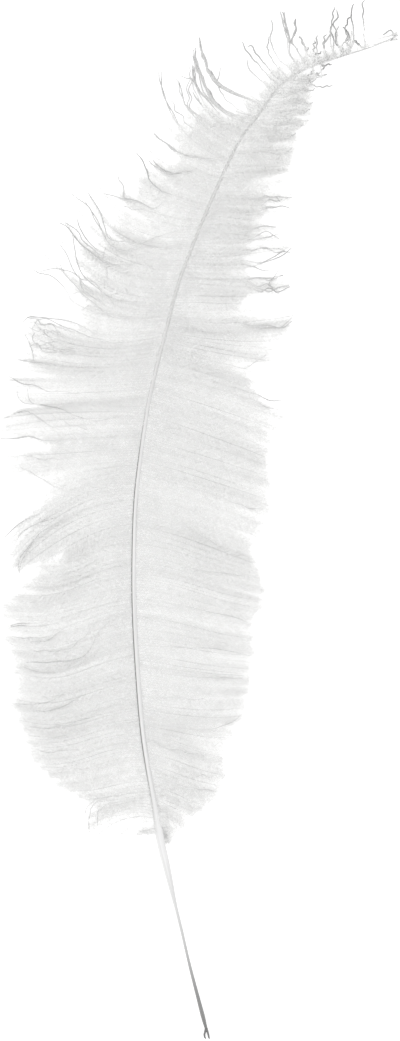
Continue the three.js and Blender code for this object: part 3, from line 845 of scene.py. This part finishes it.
    (0.35, 2, [(-103.5, 53.5), (-98.5, 56), (-92, 57.5), (-86, 54.5), (-78.5, 49)]),
    (0.5, 1, [(-106, 44.5), (-99.5, 43.5), (-91, 45), (-85, 43.5), (-74, 42.5)]),
    (0.2, 1, [(-94.5, 33), (-86, 32), (-78.5, 31.5)]),
    (0.2, 1, [(-94.5, 29.5), (-86, 24.5), (-76.5, 19), (-69, 16)]),
    (0.3, 1, [(-69, 12), (-64.5, 13.5), (-61.5, 15)]),
    (0.3, 1, [(-88.5, -3.5), (-82, -1), (-74, 1.5)]),
    (0.5, 1, [(-103, -9.5), (-98.5, -4.5), (-93.5, -0.5), (-85, 3.5)]),
    (0.3, 2, [(-96.5, -28), (-96, -22), (-92, -15.5), (-86, -8), (-76.5, -2), (-63.5, 4.5)]),
    (0.25, 1, [(-98, -14.5), (-94.5, -7.5), (-86, -2), (-74, 4.5), (-60.5, 11)]),
    (0.6, 2, [(-100.5, -56), (-96.5, -55), (-91, -55)]),
    (0.3, 1, [(-98.5, -61), (-91, -61.5), (-82, -61)]),
    (0.4, 1, [(-93, -73), (-83.5, -73.5), (-74, -74), (-64.5, -72.5), (-59, -68), (-54.5, -59),
        (-47.5, -52.5)]),
    (0.22, 1, [(-90, -64), (-80.5, -63.5), (-76.5, -60), (-72, -56.5)]),
    (0.2, 1, [(-93.5, -67.5), (-82.5, -68.5), (-71, -67.5), (-61.5, -61), (-54, -51.5)]),
    (0.2, 1, [(-94.5, -78), (-82.5, -80.5), (-71, -79), (-61.5, -74), (-53, -66.5)]),
    (0.35, 1, [(-98, -96.5), (-90, -96.5), (-82, -96), (-76.5, -93.5), (-71, -90)]),
    (0.35, 1, [(-91.5, -101), (-85, -101), (-77.5, -100), (-67.5, -95.5), (-58, -89.5)]),
    (0.25, 1, [(-91.5, -109.5), (-80.5, -109.5), (-67, -107), (-57, -102.5), (-46.5, -98)]),
    (0.2, 1, [(-87.5, -122.5), (-77, -122.5), (-65.5, -121.5)]),
    (0.2, 1, [(-91, -113.5), (-81.5, -114.5), (-71, -113.5), (-60.5, -110)]),
    (0.2, 1, [(-58.5, -166), (-59.5, -160), (-58, -153), (-54.5, -149), (-49, -148)]),
    (0.2, 1, [(-62, -158.5), (-61.5, -154.5), (-59.5, -151), (-55, -148)]),
    (0.2, 1, [(-54, -162), (-54, -156), (-52, -152), (-46.5, -149.5)]),
    (0.2, 1, [(-32.5, -166.5), (-27.5, -166), (-23.5, -166)]),
]
RIGHT_STRANDS = [
    (0.3, 1, [(60.5, 227.5), (57, 226.5), (54.5, 228), (52, 227)]),
    (0.3, 1, [(60, 221.5), (58, 219.5), (55, 221.5), (52.5, 220)]),
    (0.25, 1, [(59, 218), (56, 216), (53.5, 217.5)]),
    (0.25, 1, [(55, 210.5), (52.5, 209), (50, 211)]),
    (0.25, 1, [(51, 205), (48, 203.5), (45.5, 205.5)]),
    (0.25, 1, [(48, 197.5), (46, 195.5), (43.5, 196.5)]),
    (0.4, 1, [(70.5, 231.5), (64.5, 231), (59.5, 232), (53, 234)]),
    (0.3, 1, [(44, 171), (38, 171), (33, 169)]),
    (0.35, 1, [(49, 170.5), (40.5, 171), (30.5, 170.5), (25, 171.5)]),
    (0.35, 1, [(48, 165), (42, 165.5), (35, 164.5), (28, 162)]),
    (0.3, 1, [(43, 169.5), (37.5, 172), (33.5, 171.5), (26.5, 170)]),
    (0.35, 1, [(40.5, 155), (33.5, 155.5), (27.5, 154), (21, 153)]),
    (0.3, 1, [(42, 147.5), (36, 151.5), (30.5, 149.5), (25, 147.5)]),
    (0.45, 1, [(47.5, 142), (43, 142.5), (37.5, 139), (30.5, 136.5), (24, 138)]),
    (0.35, 1, [(46, 143.5), (40.5, 140.5), (33.5, 143.5), (26.5, 141)]),
    (0.35, 1, [(37.5, 132), (32, 133), (26.5, 135), (21, 136)]),
    (0.45, 1, [(47, 124), (40.5, 121), (36, 125.5), (30.5, 124), (25, 128)]),
    (0.4, 1, [(42, 119.5), (37.5, 122), (33.5, 120.5), (28, 123)]),
    (0.4, 1, [(40.5, 132), (37, 128), (33.5, 126.5), (30, 128)]),
    (0.3, 1, [(48, 166), (40, 166), (30.5, 165.5)]),
    (0.3, 1, [(40.5, 151), (33, 149.5), (26.5, 148)]),
    (0.5, 1, [(48, 144), (44, 140.5), (37, 137), (29.5, 134.5)]),
    (0.4, 1, [(44.5, 142.5), (37, 143.5), (27.5, 143), (16, 141)]),
    (0.4, 1, [(41, 128), (35, 129), (26.5, 128.5), (21, 129.5)]),
    (0.4, 1, [(48, 125), (43, 124.5), (37.5, 121), (33, 123), (25.5, 126.5)]),
    (0.35, 1, [(41.5, 121.5), (37.5, 125), (40.5, 128), (44.5, 129.5)]),
    (0.3, 2, [(49, 106.5), (44.5, 103), (38, 102.5), (29, 103), (18.5, 106.5)]),
    (0.2, 1, [(36, 89), (29.5, 84.5), (24, 81)]),
    (0.5, 1, [(44, 63), (40, 63), (34.5, 64.5), (26.5, 67.5)]),
    (0.3, 1, [(41.5, 56.5), (36, 58), (29, 61.5)]),
    (0.18, 1, [(33, 5), (25.5, 6.5), (16, 10)]),
    (0.18, 1, [(24.5, -21.5), (15, -17), (2.5, -9.5), (-8, -2.5)]),
    (0.18, 1, [(24.5, -30), (15, -28.5), (2.5, -27), (-10.5, -23.5)]),
    (0.18, 1, [(24.5, -54), (16, -51), (2.5, -48), (-13, -44.5)]),
    (0.2, 1, [(25, -72.5), (17, -70), (8, -68.5), (-10.5, -67.5), (-29, -66)]),
    (0.16, 1, [(24.5, -80), (16, -80), (2.5, -79), (-15, -78)]),
    (0.16, 1, [(21.5, -83.5), (11.5, -83.5), (0, -83), (-12.5, -82)]),
    (0.18, 1, [(2.5, -94), (-5.5, -94), (-16, -93.5), (-27.5, -93)]),
    (0.2, 1, [(21, -103), (15, -107), (7.5, -110), (-2.5, -111)]),
    (0.16, 1, [(3, -124.5), (-5.5, -122.5), (-16, -120.5), (-26.5, -117.5)]),
    (0.16, 1, [(8.5, -135.5), (0, -136), (-8, -136), (-16, -135), (-21, -133), (-25.5, -129.5)]),
    (0.16, 1, [(9.5, -144), (0, -143), (-10.5, -140.5), (-20, -136.5)]),
]

STRAND_PLACES = 40
STRAND_STEPS = 8  # how many places a drawn stretch has from one of its points to the next
LEAD_STEP = 3  # a lead-in keeps every third place of its lock's line
FINER = 4  # how many lines there are to each lock for a loose strand to follow

# A strand's radius by the share of its length, and how much stouter it is by where it roots.
STRAND_RADIUS = [(0, 0.13), (0.4, 0.16), (0.75, 0.28), (0.92, 0.25), (1, 0.12)]
STRAND_STOUTNESS = [(300, 1), (400, 1.25), (480, 1.6), (540, 1.9), (593, 1.9)]

# How far a strand kinks off its drawn path, in how many waves, and how far two threads of it part.
STRAND_KINK = 0.32
KINK_TURNS = (1, 7)
THREADS_APART = 0.7

# How high a strand lies where it is in the pile and where it leaves it, how much of that height it
# loses towards its tip, and from which share of its length on.
STRAND_FOOT = 0.6
STRAND_HEIGHT = 3.6
STRAND_DROOP, DROOPS_FROM = 0.75, 0.55
LEAVES_PILE = (-0.12, 0.1)  # from so far before its drawn stretch starts to so far past that

# A strand darkens in two steps, partly as painted shade: where its drawn stretch starts, and from there
# on to near its tip.
STRAND_DARKNESS = 1.1
LEAST_DARKNESS = 0.04
FIRST_DARKENING, DARKENS_FROM, DARKENS_TO = 0.4, -0.05, 0.2
SECOND_DARKENING, DARKEST_AT = 0.6, 0.9
LEAF_DARKNESS, SPINE_DARKNESS, SPINE_EXTRA = 0.6, 0.4, 0.05

# How long a strand's barbules are, how much of that a pale strand's are, and where they shrink.
STRAND_BARBULE = 2
PALE_FRINGE, FRINGE_GAINED = 0.3, 0.7
FRINGE_GROWS = (0.15, 0.35)  # how grey a strand is where its fringe starts to grow and is full
INNER_FRINGE, OUTER_LOSS = 0.9, 0.3
TIP_LOSS, SHRINKS_FROM = 0.5, 0.6
STRAND_TANGLE = 0.6
STRAND_BUNCHING = 0.85  # how much a strand's barbules are drawn together in knots
STRAND_BARBULES = 130


def lines_between(locks):
    """The lock table with FINER rows for each lock, on straight lines from one lock to the next."""
    place = np.linspace(0, len(locks) - 1, FINER * len(locks))
    return np.stack([np.interp(place, np.arange(len(locks)), column) for column in locks.T], -1)


def strand_path(drawn_in, locks):
    """A loose strand's path in plan, the share of it where its drawn stretch starts, and its root.

    It follows the nearest line from the shaft, bent to end where the drawn stretch starts."""
    drawn = smooth_course(drawn_in[::-1], STRAND_STEPS)
    lines = lock_lines(locks, np.linspace(0, 1, LOCK_PLACES))
    gap = np.linalg.norm(lines - drawn[0], axis=-1)
    lock, step = np.unravel_index(np.argmin(gap), gap.shape)
    lead = lines[lock, : max(step, 1)]
    lead = lead + (drawn[0] - lines[lock, step]) * np.linspace(0, 1, len(lead))[:, None] ** 2
    lead = lead[::LEAD_STEP]
    plan = np.vstack([lead, drawn])
    walked = distances(plan)
    places = places_along(plan, np.linspace(0, walked[-1], STRAND_PLACES))
    return places, walked[len(lead)] / walked[-1], locks[lock, 0]


def make_strands(name, strands, locks):
    """All the loose strands of one side as a piece. A strand climbs out of the pile as it parts."""
    share = np.linspace(0, 1, STRAND_PLACES)[None]
    threads = [(grey, drawn) for grey, count, drawn in strands for _ in range(count)]
    plans, starts, roots = zip(*(strand_path(drawn, locks) for _, drawn in threads))
    greyness = np.array([grey for grey, _ in threads])[:, None]
    start = np.array(starts)[:, None]
    root = np.array(roots, float)
    parting = np.sin(np.pi * share / 2)[..., None]
    apart = dice.normal(0, THREADS_APART, (len(threads), 1, 2)) * parting
    kinks = dice.normal(0, STRAND_KINK, (len(threads), 2, 2))
    turns = dice.uniform(*KINK_TURNS, (len(threads), 2, 1))
    kinked = np.einsum("tka,tks->tsa", kinks, np.sin(2 * np.pi * turns * share[None]))
    plans = np.stack(plans) + apart + kinked * share[..., None]

    out = smoothstep(share, start + LEAVES_PILE[0], start + LEAVES_PILE[1])
    droop = 1 - STRAND_DROOP * smoothstep(share, DROOPS_FROM, 1)
    climb = STRAND_FOOT + (STRAND_HEIGHT - STRAND_FOOT) * out * droop
    height = shaft_middle(root)[:, 2:] * (1 - smoothstep(share, 0, SAG_SHARE)) + climb
    paths = np.concatenate([plans, height[..., None]], -1)
    thick = along(STRAND_RADIUS, share) * along(STRAND_STOUTNESS, root)[:, None]

    first = FIRST_DARKENING * smoothstep(share, start + DARKENS_FROM, start + DARKENS_TO)
    second = SECOND_DARKENING * smoothstep(share, start, DARKEST_AT)
    dark = STRAND_DARKNESS * greyness * (first + second) + LEAST_DARKNESS
    fringe = PALE_FRINGE + FRINGE_GAINED * smoothstep(greyness, *FRINGE_GROWS)
    reach = STRAND_BARBULE * fringe * (INNER_FRINGE - OUTER_LOSS * out)
    reach = reach * (1 - TIP_LOSS * smoothstep(share, SHRINKS_FROM, 1))
    tangle = np.full((len(threads), 1), STRAND_TANGLE)
    return make_barbs(name, paths, thick, reach, LEAF_DARKNESS * dark,
                      SPINE_DARKNESS * dark + SPINE_EXTRA, tangle, STRAND_BUNCHING, STRAND_BARBULES)


make_strands("left_loose_strands", LEFT_STRANDS, lines_between(lock_table(LEFT_LOCKS)))
make_strands("right_loose_strands", RIGHT_STRANDS, lines_between(lock_table(RIGHT_LOCKS)))


# ------------------------------------------------------------------ floor, light and camera
# A plain white floor under a wide even sky, with one large soft lamp to the upper left. The camera
# looks straight down, far enough away that the plume's height hardly shows.

FLOOR_REACH = 4.0
FLOOR_GREY = (0.6, 0.6, 0.6, 1)
FLOOR_GLOW = 0.62
SKY_STRENGTH = 1.05
LAMP_PLACE = (-1.3, 0.9, 1.7)
LAMP_SIZE = 0.9
LAMP_POWER = 9
CAMERA_HEIGHT = 3.0
CAMERA_SIGHT = 20  # how far the camera sees
FRAME_HALF_HEIGHT = 275.9 * MM  # half of the length that fills the picture's height
SENSOR = 36.0  # the camera's sensor is this wide


def make_floor():
    """A flat white sheet that glows a little, as a light table does."""
    mesh = bpy.data.meshes.new("floor")
    low, high = -FLOOR_REACH, FLOOR_REACH
    mesh.from_pydata([(low, low, 0), (high, low, 0), (high, high, 0), (low, high, 0)], [], [(0, 1, 2, 3)])
    material, start = new_material("white_table")
    give_surface(start, {
        "Base Color": FLOOR_GREY, "Roughness": 0.9, "Specular IOR Level": 0.0,
        "Emission Color": (1, 1, 1, 1), "Emission Strength": FLOOR_GLOW,
    })
    mesh.materials.append(material)
    floor = put_in_scene("floor", mesh)


def make_light():
    """An even white sky, and a square lamp that faces the plume."""
    world = bpy.data.worlds.new("studio")
    world.use_nodes = True
    sky = world.node_tree.nodes["Background"]
    sky.inputs["Color"].default_value = (1, 1, 1, 1)
    sky.inputs["Strength"].default_value = SKY_STRENGTH
    bpy.context.scene.world = world
    lamp = bpy.data.lights.new("soft_lamp", "AREA")
    lamp.size = LAMP_SIZE
    lamp.energy = LAMP_POWER
    holder = put_in_scene("soft_lamp", lamp)
    holder.location = LAMP_PLACE
    holder.rotation_euler = (-Vector(LAMP_PLACE)).to_track_quat("-Z", "Y").to_euler()


def make_camera():
    """A long lens straight above the plume, with its tip at the top of the frame."""
    camera = bpy.data.cameras.new("camera")
    camera.sensor_width = SENSOR
    camera.lens = SENSOR / 2 * CAMERA_HEIGHT / FRAME_HALF_HEIGHT
    camera.clip_end = CAMERA_SIGHT
    holder = put_in_scene("camera", camera)
    holder.location = (0, 0, CAMERA_HEIGHT)
    bpy.context.scene.camera = holder


make_floor()
make_light()
make_camera()
bpy.context.scene.view_settings.view_transform = "Standard"
